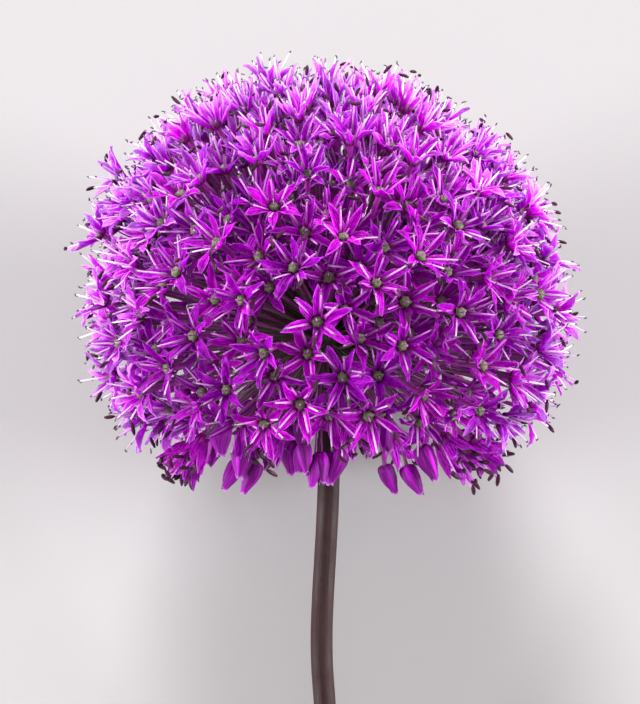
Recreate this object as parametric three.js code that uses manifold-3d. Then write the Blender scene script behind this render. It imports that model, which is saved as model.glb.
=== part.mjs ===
// An allium flower head, picked and laid on its side.
//
// One round stem carries a globe of star-shaped florets. Every floret has a thin stalk of its own, and all
// the stalks spring from a small knob on top of the stem. Florets round the lower edge are still half open,
// and below them hang closed buds.
//
// The flower is shaped upright in its own frame: the origin is the point that the stalks radiate from, +Z
// is the crown, the stem goes down -Z, and -Y is the side that shows best. A group then lays it down with
// that side up. It rests on the florets of its lower side, which the surface presses in, and on the cut
// end of the stem. All lengths are in millimetres and all angles in radians.
import * as THREE from "three";
import { mergeVertices } from "three/addons/utils/BufferGeometryUtils.js";
import Module from "manifold-3d";

const wasm = await Module();
wasm.setup();
const { degToRad } = THREE.MathUtils;

// ---- Driving dimensions ----

// How far the outermost tips reach from the stalks' origin: level with it, at the crown, and what a tip
// pointing straight down would lose, because the globe is drawn in towards the stem.
const SIDE_REACH = 55;
const CROWN_EXTRA = 7;
const SKIRT_LOSS = 25;

// The stem, from the stalks' origin to its cut end, and its gentle bend as [sideways, along] points.
const STEM_RADIUS = 2.3;
const STEM_LENGTH = 150;
const STEM_BEND = [
  [0.2, -5],
  [0.1, -33],
  [-1.4, -65],
  [-0.5, -84],
  [1.2, -115],
  [1.8, -STEM_LENGTH],
];
const STEM_SIDES = 16;
const STEM_STEPS = 30;

// The knob that the stalks are rooted in. Its underside is cut flat where the stem meets it.
const KNOB_RADIUS = 7;
const KNOB_FLATTENING = 0.8;
const KNOB_SEAT = -4.7;

// How high the stalks' origin lies above the surface when the flower is laid down, and how much of each
// tip that touches the surface is pressed flat.
const LYING_HEIGHT = 49;
const PRESSED_TIP = 0.6;

// Open florets cover the head from the crown to this polar angle.
const OPEN_COUNT = 138;
const OPEN_TO = degToRad(116);
const HALF_OPEN = { count: 12, polar: degToRad(125), swing: degToRad(5), droop: degToRad(10) };
const BUDS = { count: 14, polar: degToRad(146), swing: degToRad(8), droop: degToRad(22) };

// A floret: its tepals' outline, with the half width at the widest place, and its stamens, one over every
// other tepal.
const TEPAL = { root: 1.5, waist: 3.9, halfWidth: 1.95, tip: 7.6 };
const TEPALS = 6;
const OVARY_TOP = 1.5;
const STAMEN = { out: 4.2, up: 6.4 };
const FLORET_HEIGHT = 6.8;
const STALK_RADIUS = 0.54;
const STALK_SIDES = 3;
const STALK_ROOT = 3.6;
const SMALLEST_STEP = 0.1;

// A closed bud, from its stalk to its tip.
const BUD = { length: 7.2, radius: 1.75, sides: 6 };

const COLOURS = { stem: 0x51403f, floret: 0xa21cb4 };

// ---- Small helpers ----

// A number from 0 to 1 that depends only on what is asked for, so that the head is the same every time.
function wobble(index, purpose) {
  const mixed = Math.sin(index * 12.9898 + purpose * 78.233) * 43758.5453;
  return mixed - Math.floor(mixed);
}

const spread = (index, purpose, amount) => (wobble(index, purpose) * 2 - 1) * amount;

// The reach of the tips at a polar angle from the crown.
function reach(polar) {
  const up = Math.cos(polar);
  return up > 0
    ? SIDE_REACH + CROWN_EXTRA * up ** 1.2
    : SIDE_REACH - SKIRT_LOSS * up ** 2;
}

function direction(polar, turn) {
  return new THREE.Vector3().setFromSphericalCoords(1, polar, turn).applyAxisAngle(
    new THREE.Vector3(1, 0, 0),
    Math.PI / 2,
  );
}

// A closed skin through rings of points, each ring counter-clockwise as seen from the tip. A ring may have
// a whole number of times as many points as the one before it.
class Skin {
  constructor() {
    this.points = [];
    this.faces = [];
  }

  ring(points) {
    return points.map((p) => this.points.push(p) - 1);
  }

  bridge(lower, upper) {
    const share = upper.length / lower.length;
    lower.forEach((low, j) => {
      for (let i = 0; i < share; i++) {
        const m = share * j + i;
        this.faces.push([low, upper[(m + 1) % upper.length], upper[m]]);
      }
      this.faces.push([low, lower[(j + 1) % lower.length], upper[(share * (j + 1)) % upper.length]]);
    });
  }

  closeBelow(ring) {
    for (let j = 1; j + 1 < ring.length; j++) this.faces.push([ring[0], ring[j + 1], ring[j]]);
  }

  closeAbove(ring, tip) {
    ring.forEach((p, j) => this.faces.push([p, ring[(j + 1) % ring.length], tip]));
  }

  geometry() {
    const flat = this.points.flatMap((p) => p.toArray());
    return new THREE.BufferGeometry()
      .setAttribute("position", new THREE.Float32BufferAttribute(flat, 3))
      .setIndex(this.faces.flat());
  }
}

// Axes across a stalk or floret that points along the given way, turned by spin.
class Axes {
  constructor(origin, along, spin = 0) {
    this.origin = origin;
    this.along = along.clone().normalize();
    const side = Math.abs(this.along.z) < 0.9 ? new THREE.Vector3(0, 0, 1) : new THREE.Vector3(1, 0, 0);
    this.u = side.cross(this.along).normalize().applyAxisAngle(this.along, spin);
    this.v = this.along.clone().cross(this.u);
  }

  at(out, turn, up) {
    return this.origin
      .clone()
      .addScaledVector(this.u, out * Math.cos(turn))
      .addScaledVector(this.v, out * Math.sin(turn))
      .addScaledVector(this.along, up);
  }

  circle(sides, radius, up) {
    return Array.from({ length: sides }, (_, j) => this.at(radius, (j / sides) * Math.PI * 2, up));
  }
}

function solidOf(geometry) {
  const bare = geometry.clone();
  bare.deleteAttribute("normal");
  bare.deleteAttribute("uv");
  const merged = mergeVertices(bare, 1e-4);
  return new wasm.Manifold(
    new wasm.Mesh({
      numProp: 3,
      vertProperties: merged.attributes.position.array,
      triVerts: new Uint32Array(merged.index.array),
    }),
  );
}

function geometryOf(solid) {
  const mesh = solid.getMesh();
  return new THREE.BufferGeometry()
    .setAttribute("position", new THREE.BufferAttribute(mesh.vertProperties, 3))
    .setIndex(new THREE.BufferAttribute(mesh.triVerts, 1));
}

// ---- How the flower lies ----

// The stem's end rests on the surface, so the crown tips up by the lean.
const LEAN =
  Math.asin(LYING_HEIGHT / Math.hypot(STEM_LENGTH, STEM_RADIUS)) - Math.atan(STEM_RADIUS / STEM_LENGTH);
const UP = new THREE.Vector3(0, -Math.cos(LEAN), Math.sin(LEAN));
const heightOf = (point) => LYING_HEIGHT + UP.dot(point);

// ---- Florets and buds ----

// One floret on its stalk: stalk, tepals, ovary and stamens in one skin. closing goes from 0, a wide
// star, to 1, tepals standing upright.
function floret(base, facing, spin, closing) {
  const skin = new Skin();
  const stalk = new Axes(new THREE.Vector3(), base, spin);
  const cup = new Axes(base, facing, spin);
  const drawnIn = 1 - 0.62 * closing;
  const raised = 0.9 + 5.2 * closing;
  const step = (Math.PI * 2) / TEPALS;
  const waistTurn = Math.atan(TEPAL.halfWidth / TEPAL.waist) * (1 - 0.25 * closing);

  const rim = [];
  for (let i = 0; i < TEPALS; i++) {
    const middle = (i + 0.5) * step;
    const length = TEPAL.tip + spread(i + spin * 7, 3, 0.5);
    const lift = raised + spread(i + spin * 5, 4, 0.6);
    rim.push(cup.at(TEPAL.root, i * step, 0));
    rim.push(cup.at(TEPAL.waist * drawnIn, middle - waistTurn, lift * 0.62));
    rim.push(cup.at(length * drawnIn, middle, lift + 1.1));
    rim.push(cup.at(TEPAL.waist * drawnIn, middle + waistTurn, lift * 0.62));
  }

  const foot = skin.ring(stalk.circle(STALK_SIDES, STALK_RADIUS, STALK_ROOT));
  const neck = skin.ring(cup.circle(STALK_SIDES, STALK_RADIUS, -2.1));
  const outline = skin.ring(rim);
  const [ovary] = skin.ring([cup.at(0, 0, OVARY_TOP)]);
  skin.closeBelow(foot);
  skin.bridge(foot, neck);
  skin.bridge(neck, outline);
  for (let i = 0; i < TEPALS; i++) {
    const [left, waistLeft, tip, waistRight, right] = [0, 1, 2, 3, 4].map(
      (k) => outline[(4 * i + k) % outline.length],
    );
    skin.faces.push([left, waistLeft, tip], [left, tip, right], [right, tip, waistRight]);
    if (i % 2) {
      skin.faces.push([left, right, ovary]);
    } else {
      const out = STAMEN.out * (1 - 0.5 * closing);
      const [stamen] = skin.ring([cup.at(out, (i + 0.5) * step, STAMEN.up)]);
      skin.closeAbove([left, right, ovary], stamen);
    }
  }
  return skin;
}

// One closed bud: its stalk leaves the knob outwards and hangs over towards the stem's foot.
function bud(outwards, stalkLength, hang, size) {
  const skin = new Skin();
  const elbow = outwards.clone().multiplyScalar(stalkLength * 0.6);
  const top = elbow.clone().addScaledVector(hang, stalkLength * 0.4);
  const rooted = new Axes(new THREE.Vector3(), outwards);
  const bent = new Axes(elbow, outwards.clone().add(hang));
  const body = new Axes(top, hang);
  const rings = [
    rooted.circle(STALK_SIDES, STALK_RADIUS, STALK_ROOT),
    bent.circle(STALK_SIDES, STALK_RADIUS, 0),
    body.circle(STALK_SIDES, STALK_RADIUS, 0),
    body.circle(BUD.sides, BUD.radius * size * 0.75, BUD.length * size * 0.12),
    body.circle(BUD.sides, BUD.radius * size, BUD.length * size * 0.5),
  ].map((points) => skin.ring(points));
  skin.closeBelow(rings[0]);
  rings.slice(1).forEach((ring, i) => skin.bridge(rings[i], ring));
  const [tip] = skin.ring([body.at(0, 0, BUD.length * size)]);
  skin.closeAbove(rings.at(-1), tip);
  return skin;
}

// Draws a floret in along its stalk until the surface presses only its tips.
function restOnSurface(build, base) {
  let skin = build(base);
  const outwards = base.clone().normalize();
  const sinks = UP.dot(outwards);
  for (let tries = 0; tries < 3; tries++) {
    const lowest = Math.min(...skin.points.map(heightOf));
    if (lowest >= -PRESSED_TIP || sinks > -0.2) break;
    base = base.clone().addScaledVector(outwards, -(lowest + PRESSED_TIP) / sinks);
    skin = build(base);
  }
  return skin;
}

// ---- The parts of the head ----

const GOLDEN_TURN = Math.PI * (3 - Math.sqrt(5));

function openFlorets() {
  const skins = [];
  const lowest = Math.cos(OPEN_TO);
  for (let i = 0; i < OPEN_COUNT; i++) {
    const up = 1 - ((i + 0.5) / OPEN_COUNT) * (1 - lowest);
    const polar = Math.acos(up) + spread(i, 1, 0.03);
    const facing = direction(polar, i * GOLDEN_TURN + spread(i, 2, 0.04));
    const closing = 0.14 + spread(i, 5, 0.12);
    const depth = FLORET_HEIGHT + 1.1 * (i % 3);
    const base = facing.clone().multiplyScalar(reach(polar) - depth);
    const spin = wobble(i, 6) * Math.PI;
    skins.push(restOnSurface((place) => floret(place, facing, spin, closing), base));
  }
  return skins;
}

function halfOpenFlorets() {
  const skins = [];
  for (let i = 0; i < HALF_OPEN.count; i++) {
    const polar = HALF_OPEN.polar + spread(i, 7, HALF_OPEN.swing);
    const turn = ((i + 0.3) / HALF_OPEN.count) * Math.PI * 2 + spread(i, 8, 0.1);
    const base = direction(polar, turn).multiplyScalar(reach(polar) - FLORET_HEIGHT - 1);
    const facing = direction(polar + HALF_OPEN.droop, turn);
    const closing = 0.85 + spread(i, 9, 0.12);
    skins.push(restOnSurface((place) => floret(place, facing, wobble(i, 10) * Math.PI, closing), base));
  }
  return skins;
}

function hangingBuds() {
  const skins = [];
  for (let i = 0; i < BUDS.count; i++) {
    const polar = BUDS.polar + spread(i, 11, BUDS.swing);
    const turn = ((i + 0.5) / BUDS.count) * Math.PI * 2 + spread(i, 12, 0.12);
    const size = 0.95 + spread(i, 13, 0.15);
    const stalkLength = reach(polar) - BUD.length * size - wobble(i, 14) * 5;
    skins.push(bud(direction(polar - 0.1, turn), stalkLength, direction(polar + BUDS.droop, turn), size));
  }
  return skins;
}

function knob() {
  const ball = new THREE.IcosahedronGeometry(KNOB_RADIUS);
  ball.scale(1, 1, KNOB_FLATTENING);
  return solidOf(ball).trimByPlane([0, 0, 1], KNOB_SEAT);
}

function makeUmbel() {
  const skins = [...openFlorets(), ...halfOpenFlorets(), ...hangingBuds()];
  const stalked = skins.map((skin) => solidOf(skin.geometry()));
  const whole = wasm.Manifold.union([knob(), ...stalked]);
  const pressed = whole.trimByPlane(UP.toArray(), -LYING_HEIGHT);
  const largest = pressed.simplify(SMALLEST_STEP).decompose().sort((a, b) => b.volume() - a.volume())[0];
  const umbel = new THREE.Mesh(
    geometryOf(largest),
    new THREE.MeshStandardMaterial({ color: COLOURS.floret, roughness: 0.5, metalness: 0 }),
  );
  umbel.name = "umbel";
  return umbel;
}

function makeScape() {
  const round = new THREE.Shape().absarc(0, 0, STEM_RADIUS, 0, Math.PI * 2);
  const line = new THREE.CatmullRomCurve3(STEM_BEND.map(([x, z]) => new THREE.Vector3(x, 0, z)));
  const scape = new THREE.Mesh(
    new THREE.ExtrudeGeometry(round, {
      steps: STEM_STEPS,
      curveSegments: STEM_SIDES / 2,
      extrudePath: line,
      bevelEnabled: false,
    }),
    new THREE.MeshStandardMaterial({ color: COLOURS.stem, roughness: 0.55, metalness: 0 }),
  );
  scape.name = "scape";
  return scape;
}

// ---- Assembly ----

const flower = new THREE.Group();
flower.rotation.x = LEAN - Math.PI / 2;
flower.add(makeScape(), makeUmbel());

// The part's origin is on the surface, under the middle of the lying flower.
const part = new THREE.Group();
part.add(flower);
part.updateMatrixWorld(true);
const room = new THREE.Box3().setFromObject(part, true);
flower.position.set(-(room.min.x + room.max.x) / 2, -(room.min.y + room.max.y) / 2, -room.min.z);

export default part;
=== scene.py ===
"""An allium flower head, picked and laid on its side: a globe of star-shaped purple florets on thin stalks
that radiate from the top of one bare stem. Lengths are in metres."""

import math
import random

import bmesh
import bpy
from bpy.props import FloatProperty, FloatVectorProperty, IntProperty, PointerProperty
from mathutils import Matrix, Quaternion, Vector


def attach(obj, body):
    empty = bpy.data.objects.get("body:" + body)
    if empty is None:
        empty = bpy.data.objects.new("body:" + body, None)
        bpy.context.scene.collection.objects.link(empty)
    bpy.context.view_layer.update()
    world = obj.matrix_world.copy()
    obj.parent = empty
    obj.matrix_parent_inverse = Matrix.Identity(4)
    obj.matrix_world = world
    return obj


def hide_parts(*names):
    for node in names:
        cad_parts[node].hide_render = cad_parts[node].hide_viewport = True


bl_info = {
    "name": "Allium flower head",
    "version": (1, 0, 0),
    "blender": (4, 5, 0),
    "location": "3D View > Sidebar > Allium",
    "description": "Dresses the solids of an allium flower head with finer stalks, florets and buds",
    "category": "Add Mesh",
}

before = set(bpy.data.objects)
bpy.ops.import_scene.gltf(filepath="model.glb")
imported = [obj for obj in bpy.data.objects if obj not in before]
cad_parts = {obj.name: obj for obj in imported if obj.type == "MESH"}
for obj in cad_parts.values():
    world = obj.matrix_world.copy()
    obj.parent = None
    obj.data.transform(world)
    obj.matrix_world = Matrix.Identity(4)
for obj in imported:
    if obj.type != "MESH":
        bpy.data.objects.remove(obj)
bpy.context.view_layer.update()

MM = 0.001

# The flower's own frame, as in the part's source: the origin is where the stalks spring from, +Z is the
# crown and -Y is the side that lies uppermost.
STALK_ORIGIN = Vector((-0.594, 41.537, 49.0)) * MM
LEAN = math.radians(18.186)
TO_PART = Matrix.Translation(STALK_ORIGIN) @ Matrix.Rotation(LEAN - math.pi / 2, 4, "X")
UP = Vector((0, -math.cos(LEAN), math.sin(LEAN)))    # straight up from the surface

GOLDEN_TURN = math.pi * (3 - math.sqrt(5))
SHOULDER = Vector((-0.6, 0, 0.8))    # where the globe bulges a little beside its crown
TEPALS = 6
SECOND_SET = 1000    # added to the number of a floret or bud that only the scene has

# What each blade, stamen, bud and stalk carries for its material.
PETAL_MAP = "petal"
POINT_VALUES = ("shade", "pale", "tone")


# ---- Sizes and colours that a user would change ----


def length(name, description, default):
    return FloatProperty(
        name=name, description=description, unit="LENGTH", precision=5, min=0, default=default
    )


def angle(name, description, degrees):
    return FloatProperty(name=name, description=description, default=math.radians(degrees), unit="ROTATION")


def count(name, description, default):
    return IntProperty(name=name, description=description, default=default, min=0)


def colour(name, description, rgb):
    return FloatVectorProperty(
        name=name, description=description, subtype="COLOR", size=3, min=0, max=1, default=rgb
    )


class AlliumSizes(bpy.types.PropertyGroup):
    side_reach: length("Side reach", "How far the tips reach level with the stalks' origin", 55 * MM)
    crown_extra: length("Crown extra", "How much further the tips reach at the crown", 7 * MM)
    skirt_loss: length("Skirt loss", "How much less a tip reaches that points down the stem", 25 * MM)
    open_count: count("Outer florets", "Open florets in the outer layer", 138)
    open_to: angle("Open down to", "Polar angle down to which the florets are open", 116)
    fill_count: count("Inner florets", "Open florets that fill the gaps between the outer ones", 450)
    inner_depth: length("Inner depth", "How much deeper the inner florets lie", 3.2 * MM)
    bell_count: count("Half-open florets", "Florets round the lower edge that are still half open", 12)
    bud_count: count("Buds", "Closed buds that hang below the florets", 14)
    floret_height: length("Floret height", "From a floret's base to its stamens' tips", 6.8 * MM)
    tepal_length: length("Tepal length", "Length of an open floret's tepal", 7.7 * MM)
    tepal_width: length("Tepal width", "Width of a tepal at its widest place", 2.35 * MM)
    tepal_thickness: length("Tepal thickness", "Thickness of a tepal", 0.13 * MM)
    filament_length: length("Filament length", "Length of a stamen without its anther", 7.5 * MM)
    anther_length: length("Anther length", "Length of an anther that is still closed", 2.7 * MM)
    ovary_radius: length("Ovary radius", "Radius of the ovary in the middle of a floret", 1.2 * MM)
    stalk_radius: length("Stalk radius", "Radius of a floret's stalk", 0.28 * MM)
    bud_length: length("Bud length", "Length of a closed bud", 6.7 * MM)
    bud_radius: length("Bud radius", "Radius of a closed bud at its widest place", 2.3 * MM)
    knob_radius: length("Knob radius", "Radius of the knob that the stalks spring from", 5.6 * MM)
    stem_radius: length("Stem radius", "Radius of the stem", 2.42 * MM)


class AlliumColours(bpy.types.PropertyGroup):
    tepal: colour("Tepal", "Main colour of the tepals", (0.635, 0.0, 0.73))
    # The streak colour is partly the tepals' own streaks and partly a painted sheen; the tip colour also
    # takes the painted glow of light from behind at the crown and the rims.
    tepal_streaks_and_sheen: colour("Tepal streaks", "Lighter streaks along the tepals", (0.78, 0.012, 0.88))
    tepal_tip: colour("Tepal tip", "Pale tips and rims of the tepals", (0.86, 0.46, 0.98))
    tepal_root: colour("Tepal root", "Colour of the tepals next to the ovary", (0.36, 0.0, 0.26))
    filament: colour("Filament", "Stamens towards their tips", (0.62, 0.17, 0.66))
    # Pale and white stamens at the crown and the rims are partly a painted glow of light from behind.
    filament_pale: colour("Pale filament", "Stamens at the crown and the rims", (0.86, 0.47, 0.89))
    filament_white: colour("White filament", "The whitest stamens", (0.95, 0.84, 0.98))
    filament_root: colour("Filament root", "Stamens next to the ovary", (0.26, 0.0, 0.20))
    ripe_anther: colour("Closed anther", "Anthers that are still closed", (0.024, 0.003, 0.015))
    ripe_spots: colour("Closed anther spots", "Soft spots on closed anthers", (0.046, 0.006, 0.030))
    shed_anther: colour("Open anther", "Anthers that have shed their pollen", (0.110, 0.096, 0.100))
    shed_spots: colour("Open anther spots", "Soft spots on open anthers", (0.028, 0.016, 0.030))
    ovary: colour("Ovary", "The ovary's ridges", (0.078, 0.097, 0.036))
    ovary_bloom: colour("Ovary bloom", "Greyish bloom on the ovary", (0.165, 0.138, 0.108))
    stalk: colour("Stalk", "Stalks near the knob", (0.098, 0.057, 0.050))
    stalk_top: colour("Stalk top", "Stalks near the florets", (0.25, 0.012, 0.22))
    bud: colour("Bud", "Closed buds", (0.106, 0.001, 0.130))
    stem: colour("Stem", "The stem's skin", (0.0172, 0.0050, 0.0062))
    stem_bloom: colour("Stem bloom", "Waxy bloom on the stem", (0.033, 0.015, 0.0175))
    cut: colour("Cut end", "The stem's cut end", (0.52, 0.56, 0.30))
    floor: colour("Floor", "The surface that the flower lies on", (0.28, 0.270, 0.273))


# ---- Numbers that depend only on what is asked for, the same as in the part's source ----

# What each scattered number is for. Those up to 14 are the part's too.
FLORET_POLAR, FLORET_TURN, FLORET_SPIN = 1, 2, 6
BELL_POLAR, BELL_TURN, BELL_SPIN = 7, 8, 10
BUD_POLAR, BUD_TURN, BUD_SIZE, BUD_DROP, BUD_SPIN = 11, 12, 13, 14, 15
BELL_DEPTH, BELL_NOD, BELL_SWING = 17, 18, 19
FLORET_DEPTH, FLORET_LEAN, FLORET_PALE, FLORET_CLOSED, FLORET_SIZE = 20, 21, 25, 30, 31
STALK_SWAY, STALK_SHADE, BUD_STALK_SHADE = 40, 44, 45
FLORET_SHADE, BELL_SHADE, BUD_SHAPE, BUD_SHADE, BUD_HANG = 46, 47, 48, 49, 50


def wobble(index, purpose):
    """A number from 0 to 1."""
    mixed = math.sin(index * 12.9898 + purpose * 78.233) * 43758.5453
    return mixed - math.floor(mixed)


def spread(index, purpose, most):
    """A number from -most to most."""
    return (wobble(index, purpose) * 2 - 1) * most


def scatter(index, purpose, most):
    """Three such numbers, as a way or a shift."""
    return Vector(spread(index, purpose + k, most) for k in range(3))


def smooth(low, high, value):
    t = min(max((value - low) / (high - low), 0), 1)
    return t * t * (3 - 2 * t)


def direction(polar, turn):
    return Vector((
        math.sin(polar) * math.sin(turn),
        -math.sin(polar) * math.cos(turn),
        math.cos(polar),
    ))


def axes(along, spin):
    """The turn that takes +Z to along, with spin round it."""
    side = Vector((0, 0, 1)) if abs(along.z) < 0.9 else Vector((1, 0, 0))
    u = side.cross(along).normalized()
    u.rotate(Quaternion(along, spin))
    return Matrix((u, along.cross(u), along)).transposed()


# ---- Where every floret and bud sits ----


class Place:
    """One floret or bud: its base, the way it faces, the turn round that way, how pale its tips are (partly a
    painted glow of light from behind), where its stalk bends, its size, and how far it is closed."""

    def __init__(self, number, base, facing, spin, pale=0.0, elbow=None, size=None):
        self.number = number
        self.base = base
        self.facing = facing.normalized()
        self.spin = spin
        self.pale = pale
        self.elbow = elbow
        self.size = size or 1 + spread(number, FLORET_SIZE, 0.07)
        self.closed = wobble(number, FLORET_CLOSED)

    def matrix(self, swell=1.0):
        turn = axes(self.facing, self.spin).to_4x4()
        return TO_PART @ Matrix.Translation(self.base) @ turn @ Matrix.Scale(swell * self.size, 4)


def reach(sizes, polar):
    """How far from the stalks' origin the tips stand, by the angle from the crown."""
    up = math.cos(polar)
    if up > 0:
        return sizes.side_reach + sizes.crown_extra * up**1.2
    return sizes.side_reach - sizes.skirt_loss * up**2


def lifted(base, facing, height, width):
    """The base, drawn in along its stalk if the surface would otherwise press in more than the tips."""
    deepest = -1.2 * MM
    outwards = base.normalized()
    sinks = UP.dot(outwards)
    tilt = UP.dot(facing)
    lowest = STALK_ORIGIN.z + UP.dot(base) + min(tilt * height, 0)
    lowest -= width * math.sqrt(max(1 - tilt * tilt, 0))
    if lowest >= deepest or sinks > -0.2:
        return base
    return base - outwards * ((lowest - deepest) / sinks)


def gaps_between(taken, number, lowest):
    """Directions that fill the widest gaps between those already taken, one after the other, a little closer
    together towards the crown."""
    tries = 2000
    polars = [math.acos(1 - (k + 0.5) / tries * (1 - lowest)) for k in range(tries)]
    spots = [direction(polar, k * GOLDEN_TURN) for k, polar in enumerate(polars)]
    loose = [0.56 + 0.44 * smooth(-0.45, 0.75, spot.z) for spot in spots]
    nearest = [min((spot - other).length for other in taken) for spot in spots]
    chosen = []
    for _ in range(number):
        widest = [gap * weight for gap, weight in zip(nearest, loose)]
        best = spots[widest.index(max(widest))]
        chosen.append(best)
        nearest = [min(old, (spot - best).length) for old, spot in zip(nearest, spots)]
    return chosen


def pale_tips_and_glow(key, out):
    """How pale a floret's tips are: palest at the crown and the rims, and less so in the inner layer. This is
    partly the tips' own pale colour and partly a painted glow of light shining through them from behind, most
    of all at the rims as the camera sees them.
    """
    side = math.hypot(out.x, out.z)
    rim = (0.76 * smooth(0.50, 1.0, side) + 0.3 * smooth(0.86, 0.98, side)) * (0.80 + 0.20 * out.z)
    layer = 1 if key < SECOND_SET else 0.65 + 0.25 * smooth(0.5, 0.9, out.z)
    return rim * layer + spread(key, FLORET_PALE, 0.12)


def open_place(sizes, key, out, depth, lean):
    crown_dip = 1.8 * MM * smooth(0.5, 0.9, out.z)
    bulge = 3.2 * MM * smooth(0.72, 0.97, out.dot(SHOULDER))
    depth += crown_dip - bulge
    base = out * (reach(sizes, math.acos(min(max(out.z, -1), 1))) - depth)
    facing = (out + scatter(key, FLORET_LEAN, lean)).normalized()
    base = lifted(base, facing, height=5.5 * MM, width=4.5 * MM)
    place = Place(key, base, facing, wobble(key, FLORET_SPIN) * math.pi, pale_tips_and_glow(key, out))
    place.closed = min(0.6 * smooth(0.35, 0.95, out.z) + 0.4 * place.closed, 0.999)
    return place


# Where one looks in between the florets: the way there from the middle of the head, and how wide it is.
OPENINGS = (
    (Vector((-0.18, -0.98, 0.12)), 0.125),
    (Vector((-0.30, -0.95, -0.03)), 0.11),
    (Vector((0.01, -0.98, -0.17)), 0.085),
    (Vector((0.35, -0.93, -0.14)), 0.08),
    (Vector((0.17, -0.76, 0.63)), 0.12),
)


def open_places(sizes):
    """The outer florets stand where the part's florets do; the inner ones fill the gaps between them."""
    lowest = math.cos(sizes.open_to)
    outer = []
    for i in range(sizes.open_count):
        polar = math.acos(1 - (i + 0.5) / sizes.open_count * (1 - lowest)) + spread(i, FLORET_POLAR, 0.03)
        outer.append(direction(polar, i * GOLDEN_TURN + spread(i, FLORET_TURN, 0.04)))
    places = []
    for i, out in enumerate(outer):
        step = 1.1 * MM * (i % 3 - 1) * (1 - smooth(0.88, 0.97, out.z))
        depth = sizes.floret_height + step + spread(i, FLORET_DEPTH, 0.8 * MM)
        places.append(open_place(sizes, i, out, depth, lean=0.27))
    for i, out in enumerate(gaps_between(outer, sizes.fill_count, math.cos(sizes.open_to + 0.03))):
        if any(out.angle(way) < width for way, width in OPENINGS):
            continue
        key = i + SECOND_SET
        rim = smooth(0.55, 0.95, math.hypot(out.x, out.z))
        depth = sizes.floret_height + sizes.inner_depth * (1 - 0.6 * rim)
        depth += spread(key, FLORET_DEPTH, 2.2 * MM)
        depth += i / sizes.fill_count * (11 - 3 * rim) * MM
        places.append(open_place(sizes, key, out, depth, lean=0.34))
    return places


# Half-open florets and buds whose stalks are shorter, by how much in mm, so that the fringe has gaps.
SHORT_BELLS = {0: 7, 11: 6}
SHORT_BUDS = {0: 8, 1: 8, 2: 6, 3: 4, 4: 6, 5: 6, 6: 9, 7: 5, 9: 8, 10: 6, 11: 4, 12: 9}

# Buds that hang lower than the ring of others, each by its shoulder: across, towards the viewer and up,
# in mm.
LOW_BUDS = (
    (-17.8, 9, -22.6), (-19.6, 6, -27.2), (-15.8, 3, -27.4), (-23.5, 12, -17), (-1.6, 12, -25),
    (2.4, 11, -24), (-5.6, 13, -23), (12.2, 10, -27.6), (17.0, 9, -27.8), (20.6, -3, -24),
    (-8.8, -8, -22.6), (-24.6, -6, -21),
)


def bell_places(sizes):
    """The first round of half-open florets stands where the part's do, and a few more hang between them."""
    places = []
    for layer in (0, 1):
        for i in range(3 * layer, sizes.bell_count, 1 + 2 * layer):
            key = i + SECOND_SET * layer
            polar = math.radians(125 - 3 * layer) + spread(key, BELL_POLAR, math.radians(5))
            turn = (i + 0.3 + 0.5 * layer) / sizes.bell_count * math.tau
            turn += spread(key, BELL_TURN, 0.1 + 0.15 * layer)
            deeper = 1 + 5 * layer * wobble(key, BELL_DEPTH) + SHORT_BELLS.get(key, 0)
            depth = sizes.floret_height + deeper * MM
            base = direction(polar, turn) * (reach(sizes, polar) - depth)
            nod = math.radians(10) + spread(key, BELL_NOD, 0.25)
            facing = direction(polar + nod, turn + spread(key, BELL_SWING, 0.3))
            base = lifted(base, facing, height=7 * MM, width=1.6 * MM)
            places.append(Place(key, base, facing, wobble(key, BELL_SPIN) * math.pi))
    return places


def bud_places(sizes):
    """The ring of buds hangs where the part's do, and the low ones below it."""
    places = []
    for i in range(sizes.bud_count):
        polar = math.radians(146) + spread(i, BUD_POLAR, math.radians(8))
        turn = (i + 0.5) / sizes.bud_count * math.tau + spread(i, BUD_TURN, 0.12)
        size = 0.95 + spread(i, BUD_SIZE, 0.15)
        stalk = reach(sizes, polar) - sizes.bud_length * size
        stalk = stalk - wobble(i, BUD_DROP) * 5 * MM - SHORT_BUDS.get(i, 0) * MM
        hang = direction(polar + math.radians(22), turn)
        elbow = direction(polar - 0.1, turn) * stalk * 0.6
        base = elbow + hang * stalk * 0.4
        places.append(Place(i, base, hang, wobble(i, BUD_SPIN) * math.pi, elbow=elbow, size=size))
    for i, (across, near, up) in enumerate(LOW_BUDS):
        key = i + SECOND_SET
        base = Vector((across, -near, up)) * MM
        hang = Vector((base.x * 0.25, base.y * 0.25, -16 * MM)) + scatter(key, BUD_HANG, 6 * MM)
        elbow = Vector((base.x * 0.75, base.y * 0.75, base.z * 0.5))
        size = 1.10 + spread(key, BUD_SIZE, 0.13)
        places.append(Place(key, base, hang, wobble(key, BUD_SPIN) * math.pi, elbow=elbow, size=size))
    return places


# ---- Making and joining meshes ----


def mesh_of(bm, name):
    mesh = bpy.data.meshes.new(name)
    bm.to_mesh(mesh)
    bm.free()
    return mesh


def new_bmesh():
    """An empty mesh with the petal map. Each point has a shade and a pale value, which are its floret's, and
    a tone, which is its own blade's or stamen's. The pale value is partly a painted glow of light from
    behind."""
    bm = bmesh.new()
    bm.loops.layers.uv.new(PETAL_MAP)
    for name in POINT_VALUES:
        bm.verts.layers.float.new(name)
    return bm


def ball(around, rings, radius=1):
    bm = new_bmesh()
    bmesh.ops.create_uvsphere(bm, u_segments=around, v_segments=rings, radius=radius)
    return bm


def set_petal_map(bm, where):
    """Gives every corner its place in the petal map, which is where(vert)."""
    layer = bm.loops.layers.uv[PETAL_MAP]
    for face in bm.faces:
        for loop in face.loops:
            loop[layer].uv = where(loop.vert)


def set_tone(bm, tone):
    layer = bm.verts.layers.float["tone"]
    for vert in bm.verts:
        vert[layer] = tone


def set_value(mesh, name, value):
    mesh.attributes[name].data.foreach_set("value", [value] * len(mesh.vertices))


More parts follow.
